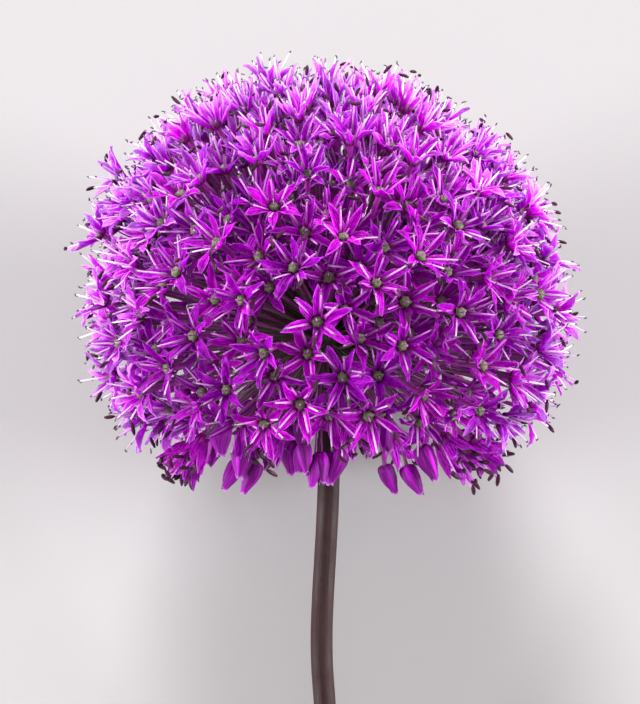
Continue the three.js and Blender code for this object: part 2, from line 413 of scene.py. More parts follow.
def copies(places, pick, purpose, swell=1.0):
    """A mesh with a copy at every place of the shape that pick(place) gives."""
    bm = new_bmesh()
    for place in places:
        copy = pick(place).copy()
        copy.transform(place.matrix(swell))
        set_value(copy, "shade", wobble(place.number, purpose))
        set_value(copy, "pale", place.pale)
        bm.from_mesh(copy)
        bpy.data.meshes.remove(copy)
    return bm


def press_on_floor(bm):
    """Soft parts that would sink into the surface are pressed flat on it, with their thickness kept."""
    soft, sinking = 0.5 * MM, 2.5 * MM
    for vert in bm.verts:
        if vert.co.z < soft:
            vert.co.z = soft * math.exp((vert.co.z - soft) / sinking)


def add_object(name, data):
    added = bpy.data.objects.new(name, data)
    bpy.context.scene.collection.objects.link(added)
    return added


def finish_piece(bm, name, *materials, node="umbel", sharp=50):
    """The piece in the scene, in the place of the CAD node. Edges over sharp degrees stay crisp."""
    press_on_floor(bm)
    mesh = mesh_of(bm, name)
    for material in materials:
        mesh.materials.append(material)
    mesh.shade_smooth()
    mesh.set_sharp_from_angle(angle=math.radians(sharp))
    piece = add_object(name, mesh)
    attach(piece, "root")
    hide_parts(node)


def round_the_axis(vert):
    """How far round the axis a point is, from 0 to 1."""
    return math.atan2(vert.co.y, vert.co.x) / math.tau + 0.5


def straight_rod(sides, steps):
    """A round rod of radius 1 from z = 0 to z = 1, cut into equal steps."""
    bm = new_bmesh()
    bmesh.ops.create_cone(
        bm, cap_ends=True, segments=sides, radius1=1, radius2=1, depth=1,
        matrix=Matrix.Translation((0, 0, 0.5)),
    )
    lengthwise = [edge for edge in bm.edges if abs(edge.verts[0].co.z - edge.verts[1].co.z) > 0.5]
    bmesh.ops.subdivide_edges(bm, edges=lengthwise, cuts=steps - 1, use_grid_fill=True)
    return bm


def rod(sides, steps):
    bm = straight_rod(sides, steps)
    set_petal_map(bm, lambda vert: (round_the_axis(vert), vert.co.z))
    return mesh_of(bm, "rod")


def tangent(path, t, step=0.01):
    return (path(min(t + step, 1)) - path(max(t - step, 0))).normalized()


def bend_rod(bm, mesh, path, radius, shade, side=Vector((0.31, 0.17, 0.94))):
    """Adds a rod that follows path(t), with radius(t) at each place, for t from 0 to 1. Its sides are counted
    from the way side, which no path follows."""
    copy = mesh.copy()
    set_value(copy, "shade", shade)
    for vert in copy.vertices:
        t = vert.co.z
        along = tangent(path, t)
        across = side.cross(along).normalized()
        offset = across * vert.co.x + along.cross(across) * vert.co.y
        vert.co = TO_PART @ (path(t) + offset * radius(t))
    bm.from_mesh(copy)
    bpy.data.meshes.remove(copy)


def bezier(start, middle, end):
    return lambda t: start * (1 - t) ** 2 + middle * (2 * t * (1 - t)) + end * t**2


def curve_through(points):
    """A smooth curve through evenly counted points, for t from 0 to 1."""
    spans = len(points) - 1

    def curve(t):
        k = min(int(t * spans), spans - 1)
        f = t * spans - k
        before = points[k - 1] if k else points[0] * 2 - points[1]
        after = points[k + 2] if k + 2 <= spans else points[spans] * 2 - points[spans - 1]
        a, b = points[k], points[k + 1]
        return 0.5 * (
            2 * a + (b - before) * f + (2 * before - 5 * a + 4 * b - after) * f**2
            + (3 * a - before - 3 * b + after) * f**3
        )

    return curve


# ---- The shapes that are repeated ----

# How wide a tepal is from its root to its tip, as a share of its widest place.
WIDTHS = (0.52, 0.80, 0.97, 1.0, 0.89, 0.60, 0.09)


def tepal(sizes, draw, closing, turn, inner):
    """One tepal in its floret's frame: a pointed, folded blade that leaves the base at a slant and bends
    outwards along its length. Raised ones are slimmer and more folded, and those of half-open florets are
    broad."""
    bm = new_bmesh()
    steps = len(WIDTHS) - 1
    bmesh.ops.create_grid(bm, x_segments=4, y_segments=steps, size=0.5, calc_uvs=True)
    raised = smooth(0.20, 0.60, closing) * (1 - smooth(0.74, 0.86, closing))
    blade = sizes.tepal_length * (1.0 + draw.uniform(-0.10, 0.08))
    half = sizes.tepal_width / 2 * (1 - 0.10 * inner + draw.uniform(-0.12, 0.10))
    half *= (1 - 0.22 * raised) * (1 + 0.4 * smooth(0.6, 1, closing))
    start = math.radians(42 + 22 * closing + draw.uniform(-14, 12) + 4 * inner)
    end = math.radians(26 + 60 * closing + draw.uniform(-38, 20) * (1 - 0.7 * closing) + 5 * inner)
    fold = draw.uniform(0.30, 0.85) + 0.2 * raised
    twist = math.radians(draw.uniform(-38, 38)) * (1 - closing)
    bow = draw.uniform(-0.9, 0.9) * MM * (1 - closing)
    tip_curl = math.radians(draw.uniform(-85, 52)) * (1 - 0.6 * closing) * (1 - 0.6 * raised)
    crumple = 0.12 * MM * (1 - 0.5 * closing)
    wave, phase = draw.uniform(0.1, 0.6) * MM * (1 - 0.6 * closing), draw.uniform(0, math.tau)

    centre, slant = [], []
    x, z = 0.75 * MM, -0.05 * MM
    for k in range(steps + 1):
        t = k / steps
        rise = start + (end - start) * smooth(0, 0.8, t) + tip_curl * smooth(0.65, 1, t)
        centre.append(Vector((x, 0, z)))
        slant.append(rise)
        x += blade / steps * math.cos(rise)
        z += blade / steps * math.sin(rise)

    for vert in bm.verts:
        t = vert.co.y + 0.5
        k = round(t * steps)
        s = vert.co.x * 2
        width = half * WIDTHS[k] * (1 + draw.uniform(-0.08, 0.08) * abs(s))
        rise = slant[k]
        normal = Vector((-math.sin(rise), 0, math.cos(rise)))
        turned = Quaternion(Vector((math.cos(rise), 0, math.sin(rise))), twist * t)
        across = Vector((0, 1, 0))
        across.rotate(turned)
        normal.rotate(turned)
        lift = fold * abs(s) ** 1.2 * width
        lift += draw.uniform(-1, 1) * crumple * (0.4 + abs(s)) * smooth(0, 0.3, t)
        lift += wave * abs(s) * math.sin(9 * t + 1.6 * s + phase) * smooth(0.1, 0.4, t)
        side_way = Vector((0, bow * t * t, 0))
        vert.co = centre[k] + across * (s * width * (1 - 0.2 * fold)) + normal * lift + side_way
    bmesh.ops.recalc_face_normals(bm, faces=bm.faces[:])
    bmesh.ops.solidify(bm, geom=bm.faces[:], thickness=sizes.tepal_thickness)
    bmesh.ops.rotate(bm, verts=bm.verts[:], matrix=Matrix.Rotation(turn, 3, "Z"))
    set_tone(bm, draw.random())
    return mesh_of(bm, "tepal")


def stamen_line(sizes, draw, closing, turn):
    """The curve of one filament, from beside the ovary to its anther."""
    rise = math.radians(draw.uniform(32, 62) * (1 - closing) + 84 * closing)
    reach_out = sizes.filament_length * draw.uniform(0.78, 1.08) * (1 + 0.1 * closing)
    out = Vector((math.cos(turn), math.sin(turn), 0))
    lean = Vector((-math.sin(turn), math.cos(turn), 0)) * draw.uniform(-0.9, 0.9) * MM * (1 - closing)
    start = out * 1.05 * MM + Vector((0, 0, 0.1 * MM))
    end = start + out * reach_out * math.cos(rise) + Vector((0, 0, reach_out * math.sin(rise))) + lean
    middle = (start + end) / 2 + Vector((0, 0, draw.uniform(0.1, 0.6) * MM)) - out * 0.3 * MM * closing
    return bezier(start, middle, end)


def filament(draw, line, turn):
    """A strap that is broad where it stands beside the ovary and thread-thin under the anther."""
    bm = straight_rod(sides=5, steps=5)
    set_petal_map(bm, lambda vert: (vert.co.x / 2 + 0.5, vert.co.z))
    side = Vector((-math.sin(turn), math.cos(turn), 0))
    for vert in bm.verts:
        t = vert.co.z
        normal = tangent(line, t, 0.02).cross(side).normalized()
        broad = (0.34 * (1 - smooth(0, 0.32, t)) + 0.245 - 0.075 * t) * MM
        thin = (0.19 - 0.05 * t) * MM
        vert.co = line(t) + side * (vert.co.x * broad) + normal * (vert.co.y * thin)
    bmesh.ops.recalc_face_normals(bm, faces=bm.faces[:])
    set_tone(bm, draw.random())
    return mesh_of(bm, "filament")


def anther(sizes, draw, line, ripe):
    """A closed anther is a plump oblong across the filament's tip, and an opened one is small and curled."""
    bm = ball(around=6, rings=5)
    long = sizes.anther_length / 2 * (draw.uniform(0.85, 1.1) if ripe else draw.uniform(0.27, 0.52))
    thick = (0.43 if ripe else 0.21) * MM
    curl = draw.uniform(0, 0.25) if ripe else draw.uniform(0.1, 0.75)
    for vert in bm.verts:
        x, y, z = vert.co
        groove = 1 - 0.25 * (abs(x) < 0.2)
        vert.co = Vector((x * thick * groove + curl * long * (z * z - 0.5), y * thick, z * long))
    onwards = (line(1) - line(0.9)).normalized()
    tip_way = (onwards * draw.uniform(0.1, 1.2) + Vector(draw.uniform(-1, 1) for _ in range(3))).normalized()
    place = Matrix.Translation(line(1)) @ axes(tip_way, draw.uniform(0, math.tau)).to_4x4()
    bmesh.ops.transform(bm, matrix=place, verts=bm.verts[:])
    bmesh.ops.recalc_face_normals(bm, faces=bm.faces[:])
    return mesh_of(bm, "anther")


def ovary(sizes):
    """A squat ball with six rounded ridges and a dimple on top, out of which the style stands."""
    bm = ball(around=12, rings=6)
    set_petal_map(bm, lambda vert: (round_the_axis(vert), vert.co.z / 2 + 0.5))
    for vert in bm.verts:
        x, y, z = vert.co
        flat = math.hypot(x, y)
        turn = math.atan2(y, x)
        ridge = 1 + flat * (0.13 * math.cos(6 * turn) + 0.07 * math.cos(3 * turn))
        dimple = 0.35 * (1 - flat) ** 2 if z > 0 else 0
        vert.co = Vector((x * ridge, y * ridge, z * 0.82 - dimple + 0.72)) * sizes.ovary_radius
    return mesh_of(bm, "ovary")


def style(draw):
    """The thin thread that stands out of the ovary."""
    top = Vector((draw.uniform(-0.5, 0.5), draw.uniform(-0.5, 0.5), draw.uniform(3.0, 4.2))) * MM
    line = bezier(Vector((0, 0, 1.2 * MM)), Vector((0, 0, 2.4 * MM)), top)
    bm = straight_rod(sides=5, steps=3)
    set_petal_map(bm, lambda vert: (0.5, 0.3 + 0.7 * vert.co.z))
    for vert in bm.verts:
        t = vert.co.z
        vert.co = line(t) + Vector((vert.co.x, vert.co.y, 0)) * (0.16 - 0.05 * t) * MM
    return mesh_of(bm, "style")


# A bud's rings from its stalk to its tip: how wide each is and how far along, as shares of the bud's size.
BUD_WIDTHS = (0.0, 0.58, 0.88, 1.0, 1.0, 0.94, 0.82, 0.65, 0.47, 0.36, 0.0)
BUD_HEIGHTS = (0.08, 0.0, 0.05, 0.17, 0.32, 0.47, 0.62, 0.76, 0.88, 0.98, 0.90)


def bud_shape(sizes, draw):
    """A closed bud: broad shoulders round the stalk, six long ribs, and a pinched tip of small points."""
    rings = len(BUD_WIDTHS) - 1
    bm = ball(around=18, rings=rings)
    ring_of = {vert: round(math.acos(max(min(-vert.co.z, 1), -1)) / math.pi * rings) for vert in bm.verts}
    turn_of = {vert: math.atan2(vert.co.y, vert.co.x) for vert in bm.verts}
    set_petal_map(bm, lambda vert: (0.5 + 0.5 * math.cos(3 * turn_of[vert]), BUD_HEIGHTS[ring_of[vert]]))
    lean = Vector((draw.uniform(-1, 1), draw.uniform(-1, 1), 0)) * MM
    plump, long = draw.uniform(0.78, 1.04), draw.uniform(0.86, 1.08)
    for vert, ring in ring_of.items():
        t, turn = BUD_HEIGHTS[ring], turn_of[vert]
        rib = 1 + 0.18 * abs(math.cos(3 * turn)) - 0.11 + draw.uniform(-0.04, 0.04)
        out = Vector((vert.co.x, vert.co.y, 0))
        if out.length > 1e-6:
            out = out.normalized() * BUD_WIDTHS[ring] * rib * plump * sizes.bud_radius
        points = 0.10 * abs(math.cos(1.5 * turn)) * smooth(0.85, 1, t) if 0 < ring < rings else 0
        vert.co = out + Vector((0, 0, (t + points) * sizes.bud_length * long)) + lean * t * t
    return mesh_of(bm, "bud")


class FloretShapes:
    """A set of florets with like tepals, each a little different, from which every place takes one."""

    def __init__(self, sizes, seed, number, closings, ripe_share):
        draw = random.Random(seed)
        self.kinds = {name: [] for name in ("tepals", "filaments", "ripe_anthers", "shed_anthers", "styles")}
        for k in range(number):
            closing = closings[0] + (closings[1] - closings[0]) * k / (number - 1)
            parts = {name: new_bmesh() for name in self.kinds}
            for i in range(TEPALS):
                turn = (i + 0.5) * math.tau / TEPALS
                own = turn + draw.uniform(-0.19, 0.19)
                parts["tepals"].from_mesh(tepal(sizes, draw, closing, own, i % 2))
                line = stamen_line(sizes, draw, closing, turn + draw.uniform(-0.22, 0.22))
                parts["filaments"].from_mesh(filament(draw, line, turn))
                ripe = draw.random() < ripe_share
                parts["ripe_anthers" if ripe else "shed_anthers"].from_mesh(anther(sizes, draw, line, ripe))
            parts["styles"].from_mesh(style(draw))
            for name, bm in parts.items():
                self.kinds[name].append(mesh_of(bm, name))

    def pick(self, name):
        """What gives every place its shape of that kind, by how far the place is closed."""
        kinds = self.kinds[name]
        return lambda place: kinds[int(place.closed * len(kinds))]


def open_shapes(sizes):
    return FloretShapes(sizes, seed=11, number=20, closings=(0.0, 0.72), ripe_share=0.08)


def bell_shapes(sizes):
    return FloretShapes(sizes, seed=23, number=5, closings=(0.86, 1.0), ripe_share=1.0)


# ---- Materials ----


def dimmed(rgb, share):
    return tuple(share * c for c in rgb)


class Skin:
    """A node material in the making, with short names for the steps that these finishes share."""

    def __init__(self, name):
        self.material = bpy.data.materials.new(name)
        self.material.use_nodes = True
        self.material.node_tree.nodes.clear()

    def node(self, kind, inputs, **settings):
        """A node with its settings, and with each named or numbered input set to a value or joined to a
        socket."""
        tree = self.material.node_tree
        made = tree.nodes.new(kind)
        for key, value in settings.items():
            setattr(made, key, value)
        for key, value in inputs.items():
            if isinstance(value, bpy.types.NodeSocket):
                tree.links.new(value, made.inputs[key])
            else:
                made.inputs[key].default_value = value
        return made

    def mix(self, share, first, second):
        """The first colour, with that share of the second."""
        first, second = (c if isinstance(c, bpy.types.NodeSocket) else (*c, 1) for c in (first, second))
        return self.node("ShaderNodeMix", {0: share, 6: first, 7: second}, data_type="RGBA").outputs[2]

    def ramp(self, value, low, high, to_low=0.0, to_high=1.0):
        """An eased step from to_low, where the value is low, to to_high, where it is high."""
        inputs = {0: value, 1: low, 2: high, 3: to_low, 4: to_high}
        return self.node("ShaderNodeMapRange", inputs, interpolation_type="SMOOTHSTEP").outputs[0]

    def reckon(self, how, first, second=0.0):
        return self.node("ShaderNodeMath", {0: first, 1: second}, operation=how).outputs[0]

    def times(self, first, second):
        return self.reckon("MULTIPLY", first, second)

    def plus(self, total, *others):
        for other in others:
            total = self.reckon("ADD", total, other)
        return total

    def carried(self, name):
        """One of the values that every point carries."""
        return self.node("ShaderNodeAttribute", {}, attribute_name=name).outputs["Fac"]

    def petal_map(self):
        """Across and along each blade, both from 0 to 1."""
        uv = self.node("ShaderNodeUVMap", {}, uv_map=PETAL_MAP).outputs[0]
        split = self.node("ShaderNodeSeparateXYZ", {0: uv})
        return split.outputs[0], split.outputs[1]

    def noise(self, vector, scale, detail):
        inputs = {"Vector": vector, "Scale": scale, "Detail": detail}
        return self.node("ShaderNodeTexNoise", inputs).outputs["Fac"]

    def spots(self, scale, detail=4.0):
        """Noise all through the object."""
        return self.noise(self.node("ShaderNodeTexCoord", {}).outputs["Object"], scale, detail)

    def streaks(self, across, along, fine, coarse, detail=3.0):
        """Noise drawn out along a blade, different on every floret."""
        floret = self.times(self.carried("shade"), 37.0)
        inputs = {0: self.times(across, fine), 1: self.times(along, coarse), 2: floret}
        return self.noise(self.node("ShaderNodeCombineXYZ", inputs).outputs[0], 1.0, detail)

    def bump(self, height, strength, distance=0.2 * MM):
        inputs = {"Height": height, "Strength": strength, "Distance": distance}
        return self.node("ShaderNodeBump", inputs).outputs[0]

    def finish(self, body, roughness, normal=None, specular=0.5, through=0.0, coat=0.0):
        """The finished material. The share through of its light comes from behind, as in a thin petal."""
        inputs = {
            "Base Color": body, "Roughness": roughness, "Specular IOR Level": specular, "Coat Weight": coat,
        }
        behind = {"Color": body}
        if normal is not None:
            inputs["Normal"] = behind["Normal"] = normal
        shader = self.node("ShaderNodeBsdfPrincipled", inputs).outputs[0]
        if through:
            glow = self.node("ShaderNodeBsdfTranslucent", behind).outputs[0]
            shader = self.node("ShaderNodeMixShader", {0: through, 1: shader, 2: glow}).outputs[0]
        self.node("ShaderNodeOutputMaterial", {0: shader})
        return self.material


def tepal_skin(colours, name="tepal_skin", through=0.56, dark=0.0):
    """Darkest next to the ovary and along the veins, with thin paler margins. Tips fade to pale lilac, most
    of all where the florets stand at the crown and the rims; there the fade and a brighter value are partly
    the tips' own colour and partly a painted glow of light from behind."""
    skin = Skin(name)
    across, along = skin.petal_map()
    from_middle = skin.reckon("ABSOLUTE", skin.reckon("SUBTRACT", across, 0.5))
    lines = skin.streaks(across, along, fine=8.0, coarse=1.3)
    shade, pale, tone = (skin.carried(name) for name in POINT_VALUES)

    # Lighter streaks, partly the tepals' own and partly a painted sheen.
    body = skin.mix(skin.ramp(lines, 0.42, 0.70), colours.tepal, colours.tepal_streaks_and_sheen)
    waves = skin.reckon("COSINE", skin.times(from_middle, 4.5 * math.tau))
    veins = skin.times(skin.ramp(waves, 0.3, 1.0, 0.0, 0.42), skin.ramp(along, 0.92, 0.55))
    body = skin.mix(veins, body, colours.tepal_root)
    body = skin.mix(skin.ramp(along, 0.0, 0.24, 0.85, 0.0), body, colours.tepal_root)

    margin = skin.times(skin.ramp(from_middle, 0.40, 0.49), skin.plus(skin.times(pale, 0.5), 0.14))
    tip = skin.ramp(along, 0.82, 1.0, 0.0, 0.26)
    # Painted glow: where the pale value is high, at the crown and the rims, the tips fade much further
    # towards the tip colour.
    fade = skin.times(skin.ramp(pale, 0.08, 0.98), skin.ramp(along, 0.36, 0.97, 0.0, 1.12))
    fade = skin.times(fade, skin.ramp(tone, 0.0, 1.0, 0.45, 1.35))
    light = skin.plus(skin.reckon("MAXIMUM", margin, tip), fade)
    light = skin.reckon("MINIMUM", skin.reckon("MAXIMUM", light, 0.0), 0.95)
    body = skin.mix(light, body, colours.tepal_tip)

    # Crinkle noise: it raises the bump and also paints sheen and shade into the value.
    crinkles_and_sheen = skin.spots(900.0, 3.0)
    # The value varies at random by floret and blade, and the pale value adds a painted brightening at the
    # crown and the rims.
    value = skin.plus(
        skin.ramp(shade, 0.0, 1.0, 0.82 - dark, 0.98 - dark), skin.ramp(tone, 0.0, 1.0, 0.0, 0.13),
        skin.ramp(crinkles_and_sheen, 0.34, 0.66, -0.14, 0.14), skin.ramp(pale, 0.0, 0.75, 0.0, 0.22),
    )
    hue = skin.ramp(shade, 0.0, 1.0, 0.488, 0.511)
    varied = skin.node("ShaderNodeHueSaturation", {"Color": body, "Hue": hue, "Value": value}).outputs[0]
    rough = skin.ramp(lines, 0.3, 0.7, 0.40, 0.6)
    ridges = skin.streaks(across, along, fine=16.0, coarse=1.8, detail=2.0)
    height = skin.plus(ridges, skin.times(waves, -0.3), skin.times(crinkles_and_sheen, 1.8))
    return skin.finish(varied, rough, skin.bump(height, 1.0, 0.42 * MM), specular=0.16, through=through)


def filament_skin(colours):
    """Dark at the root and pale towards the anther, and nearly white at the crown and the rims: partly their
    own colour and partly a painted glow of light from behind.
    """
    skin = Skin("filament_skin")
    _, along = skin.petal_map()
    # The pale value carries a painted glow of light from behind at the crown and the rims; the tone varies at
    # random.
    faded_and_glow = skin.plus(skin.carried("pale"), skin.ramp(skin.carried("tone"), 0.2, 0.9, -0.1, 0.42))
    tip = skin.mix(skin.ramp(faded_and_glow, 0.0, 0.6), colours.filament, colours.filament_pale)
    body = skin.mix(skin.ramp(along, 0.06, 0.48), colours.filament_root, tip)
    body = skin.mix(skin.ramp(along, 0.6, 1.0, 0.0, 0.35), body, colours.filament_pale)
    whitened_and_glow = skin.times(skin.ramp(faded_and_glow, 0.30, 0.85, 0.0, 0.85), skin.ramp(along, 0.25, 0.7))
    body = skin.mix(whitened_and_glow, body, colours.filament_white)
    value = skin.ramp(skin.carried("shade"), 0.0, 1.0, 0.78, 1.04)
    varied = skin.node("ShaderNodeHueSaturation", {"Color": body, "Value": value}).outputs[0]
    return skin.finish(varied, 0.45, specular=0.2, through=0.4)


def spotted_skin(name, first, second, scale, rough, strength, specular=0.4):
    """Two colours in soft spots over a lightly uneven skin."""
    skin = Skin(name)
    spots = skin.spots(scale)
    body = skin.mix(skin.ramp(spots, 0.36, 0.66), first, second)
    return skin.finish(body, rough, skin.bump(spots, strength), specular=specular)


def closed_anther_skin(colours, name):
    return spotted_skin(name, colours.ripe_anther, colours.ripe_spots, 2500.0, 0.5, 0.4, specular=0.15)


def open_anther_skin(colours):
    return spotted_skin("open_anther", colours.shed_anther, colours.shed_spots, 3000.0, 0.8, 0.8)


def cut_end_skin(colours):
    return spotted_skin("cut_end", colours.cut, dimmed(colours.cut, 0.8), 1400.0, 0.6, 0.4)


def ovary_skin(colours):
    """Green with a greyish bloom, and purple where the tepals join it."""
    skin = Skin("ovary_skin")
    _, along = skin.petal_map()
    spots = skin.spots(2600.0, 3.0)
    body = skin.mix(skin.ramp(spots, 0.35, 0.7), colours.ovary, colours.ovary_bloom)
    body = skin.mix(skin.ramp(along, 0.05, 0.42, 0.8, 0.0), body, colours.tepal_root)
    return skin.finish(body, 0.62, skin.bump(spots, 0.8), specular=0.25)


def stalk_skin(colours):
    """Brown near the knob and purple near the florets, lightly glossy."""
    skin = Skin("stalk_skin")
    _, along = skin.petal_map()
    spots = skin.spots(420.0)
    own = skin.times(skin.reckon("SUBTRACT", skin.carried("shade"), 0.5), 0.8)
    mixed = skin.plus(skin.ramp(along, 0.15, 0.95, 0.0, 0.85), own)
    body = skin.mix(skin.ramp(mixed, 0.0, 1.0), colours.stalk, colours.stalk_top)
    body = skin.mix(skin.ramp(spots, 0.5, 0.75, 0.0, 0.3), body, colours.stem_bloom)
    return skin.finish(body, 0.38, skin.bump(spots, 0.3), specular=0.6, coat=0.15)


def bud_skin(colours):
    """Deep purple, lighter on the ribs and dark in the furrows between them and round the stalk."""
    skin = Skin("bud_skin")
    across, along = skin.petal_map()
    lines = skin.streaks(across, along, fine=5.0, coarse=1.5)
    body = skin.mix(skin.ramp(lines, 0.40, 0.75, 0.0, 0.7), colours.bud, colours.tepal)
    # The rib crests take the streak colour, partly a painted sheen.
    body = skin.mix(skin.ramp(across, 0.84, 1.0, 0.0, 0.4), body, colours.tepal_streaks_and_sheen)
    body = skin.mix(skin.ramp(across, 0.0, 0.25, 0.5, 0.0), body, colours.stalk_top)
    body = skin.mix(skin.ramp(along, 0.93, 1.0, 0.0, 0.5), body, colours.tepal_tip)
    body = skin.mix(skin.ramp(along, 0.0, 0.10, 0.6, 0.0), body, colours.stalk_top)
    rough = skin.ramp(lines, 0.3, 0.7, 0.44, 0.62)
    ridges = skin.streaks(across, along, fine=11.0, coarse=1.6, detail=2.0)
    return skin.finish(body, rough, skin.bump(ridges, 0.6), specular=0.16, through=0.15)


def stem_skin(colours):
    """Dark and finely streaked, with a patchy waxy bloom and small dark specks."""
    skin = Skin("stem_skin")
    across, along = skin.petal_map()
    lines = skin.streaks(across, along, fine=34.0, coarse=5.0, detail=5.0)
    cloud = skin.spots(70.0, 5.0)
    body = skin.mix(skin.ramp(lines, 0.35, 0.7, 0.0, 0.35), colours.stem, colours.stem_bloom)
    body = skin.mix(skin.ramp(cloud, 0.42, 0.72, 0.1, 0.55), body, colours.stem_bloom)
    specks = skin.ramp(skin.spots(420.0), 0.52, 0.74, 0.0, 0.45)
    body = skin.mix(specks, body, dimmed(colours.stem, 0.5))
    rough = skin.ramp(cloud, 0.35, 0.7, 0.55, 0.75)
    height = skin.plus(lines, skin.times(skin.spots(1500.0, 2.0), 0.6))
    return skin.finish(body, rough, skin.bump(height, 0.45, 0.3 * MM), specular=0.16)


def floor_paint(colours):
    skin = Skin("floor_paint")
    cloud = skin.ramp(skin.spots(3.0, 2.0), 0.3, 0.7, 0.0, 0.25)
    body = skin.mix(cloud, colours.floor, dimmed(colours.floor, 0.96))
    return skin.finish(body, 0.8, specular=0.2)


# ---- Operators ----


def sizes_of(context):
    return context.scene.allium_sizes


def colours_of(context):
    return context.scene.allium_colours


class ALLIUM_OT_camera(bpy.types.Operator):
    """Look down on the lying flower, square to its stem, with the crown at the top of the picture"""

    bl_idname = "allium.camera"
    bl_label = "Camera"

    PICTURE_HEIGHT = 154.9 * MM    # what the camera takes in at the flower
    DISTANCE = 0.65
    SENSOR = 36
    LOOKS_AT = Vector((-1.76 * MM, 0, -3.1 * MM))

    def execute(self, context):
        data = bpy.data.cameras.new("camera")
        data.sensor_width = self.SENSOR
        data.lens = self.SENSOR * self.DISTANCE / self.PICTURE_HEIGHT
        data.clip_start = 0.01
        camera = add_object("camera", data)
        camera.rotation_euler = (LEAN, 0, 0)
        backwards = Vector((0, -math.sin(LEAN), math.cos(LEAN)))
        camera.location = TO_PART @ self.LOOKS_AT + backwards * self.DISTANCE
        context.scene.camera = camera
        return {"FINISHED"}


class ALLIUM_OT_stage(bpy.types.Operator):
    """Add the pale floor and the soft studio lights"""

    bl_idname = "allium.stage"
    bl_label = "Floor and lights"

    FLOOR_REACH = 3

    # Name, where the light comes from, how many degrees it spans, and its strength.
    LIGHTS = (
        ("crown_light", (-0.20, 1.46, 0.46), 22, 10.9),
        ("left_light", (-0.80, -0.08, 0.22), 28, 7.5),
        ("right_light", (0.80, -0.02, 0.22), 28, 8.3),
        ("top_light", (0.05, -0.20, 1.05), 30, 0.5),
    )
    SURROUNDINGS = (1.0, 0.975, 0.96, 1)
    SURROUNDINGS_STRENGTH = 0.46

    def execute(self, context):
        bm = bmesh.new()
        bmesh.ops.create_grid(bm, x_segments=1, y_segments=1, size=self.FLOOR_REACH)
        floor = add_object("floor", mesh_of(bm, "floor"))
        floor.data.materials.append(floor_paint(colours_of(context)))

        for name, comes_from, span, strength in self.LIGHTS:
            data = bpy.data.lights.new(name, "SUN")
            data.angle = math.radians(span)
            data.energy = strength
            light = add_object(name, data)
            light.location = comes_from
            light.rotation_euler = (-Vector(comes_from)).to_track_quat("-Z", "Y").to_euler()
        world = bpy.data.worlds.new("studio")
        world.use_nodes = True
        background = world.node_tree.nodes["Background"]
        background.inputs["Color"].default_value = self.SURROUNDINGS
        background.inputs["Strength"].default_value = self.SURROUNDINGS_STRENGTH
        context.scene.world = world
        context.scene.view_settings.view_transform = "Standard"
        return {"FINISHED"}


class ALLIUM_OT_stem(bpy.types.Operator):
    """Add the bare stem with its cut end"""

    bl_idname = "allium.stem"
    bl_label = "Stem"

    # Sideways and along, in mm from the stalks' origin. The first point is inside the knob.
    BEND = ((0.2, -3.4), (0.1, -33), (-1.4, -65), (-0.5, -84), (1.2, -115), (1.8, -150))

    def execute(self, context):
        sizes, colours = sizes_of(context), colours_of(context)
        path = curve_through([Vector((x, 0, z)) * MM for x, z in self.BEND])
        bm = new_bmesh()
        template = rod(sides=32, steps=70)
        bend_rod(bm, template, path, lambda t: sizes.stem_radius, shade=0.5, side=Vector((0, 1, 0)))
        cut_end = min(bm.faces, key=lambda face: face.calc_center_median().y)
        cut_end.material_index = 1
        cut = cut_end_skin(colours)
        finish_piece(bm, "stem", stem_skin(colours), cut, node="scape", sharp=40)
        return {"FINISHED"}


class ALLIUM_OT_stalks(bpy.types.Operator):
    """Add the knob on top of the stem and a thin stalk for every floret and bud"""

    bl_idname = "allium.stalks"
    bl_label = "Knob and stalks"

    ROOT = 3.6 * MM    # how far from the stalks' origin each one starts, inside the knob

    def execute(self, context):
        sizes = sizes_of(context)
        skin = stalk_skin(colours_of(context))

        bm = ball(around=24, rings=14, radius=sizes.knob_radius)
        bmesh.ops.scale(bm, vec=(1, 1, 0.8), verts=bm.verts[:])
        bmesh.ops.recalc_face_normals(bm, faces=bm.faces[:])
        bmesh.ops.transform(bm, matrix=TO_PART, verts=bm.verts[:])
        finish_piece(bm, "knob", skin)

        def floret_stalk(t):
            return sizes.stalk_radius * (0.92 + 0.25 * t + 1.2 * smooth(0.93, 1, t))

        def bud_stalk(t):
            return sizes.stalk_radius * (0.85 + 0.9 * smooth(0.9, 1, t))

        bm = new_bmesh()
        template = rod(sides=6, steps=6)
        for place in open_places(sizes) + bell_places(sizes):
            start = place.base.normalized() * self.ROOT
            sway = scatter(place.number, STALK_SWAY, 1.6 * MM)
            lead = (place.base - place.facing * place.base.length * 0.25) * 0.62
            path = bezier(start, lead + sway, place.base - place.facing * 0.1 * MM)
            bend_rod(bm, template, path, floret_stalk, wobble(place.number, STALK_SHADE))
        for place in bud_places(sizes):
            start = place.elbow.normalized() * self.ROOT
            path = bezier(start, place.elbow * 1.12, place.base + place.facing * 0.8 * MM)
            bend_rod(bm, template, path, bud_stalk, wobble(place.number, BUD_STALK_SHADE))
        finish_piece(bm, "stalks", skin, sharp=60)
        return {"FINISHED"}


class ALLIUM_OT_tepals(bpy.types.Operator):
    """Add the six tepals of every open floret, in three belts of the head"""

    bl_idname = "allium.tepals"
    bl_label = "Tepals"

    # Each belt's lower edge, by the height of a way there from the stalks' origin.
    BELTS = (("tepals_crown", 0.57), ("tepals_flank", 0.02), ("tepals_skirt", -1))

    def execute(self, context):
        sizes, colours = sizes_of(context), colours_of(context)
        pick = open_shapes(sizes).pick("tepals")
        skin = tepal_skin(colours)
        belts = {name: [] for name, _ in self.BELTS}
        for place in open_places(sizes):
            up = place.base.normalized().z
            belts[next(name for name, lower_edge in self.BELTS if up > lower_edge)].append(place)
        for name, places in belts.items():
            finish_piece(copies(places, pick, FLORET_SHADE), name, skin)
        return {"FINISHED"}


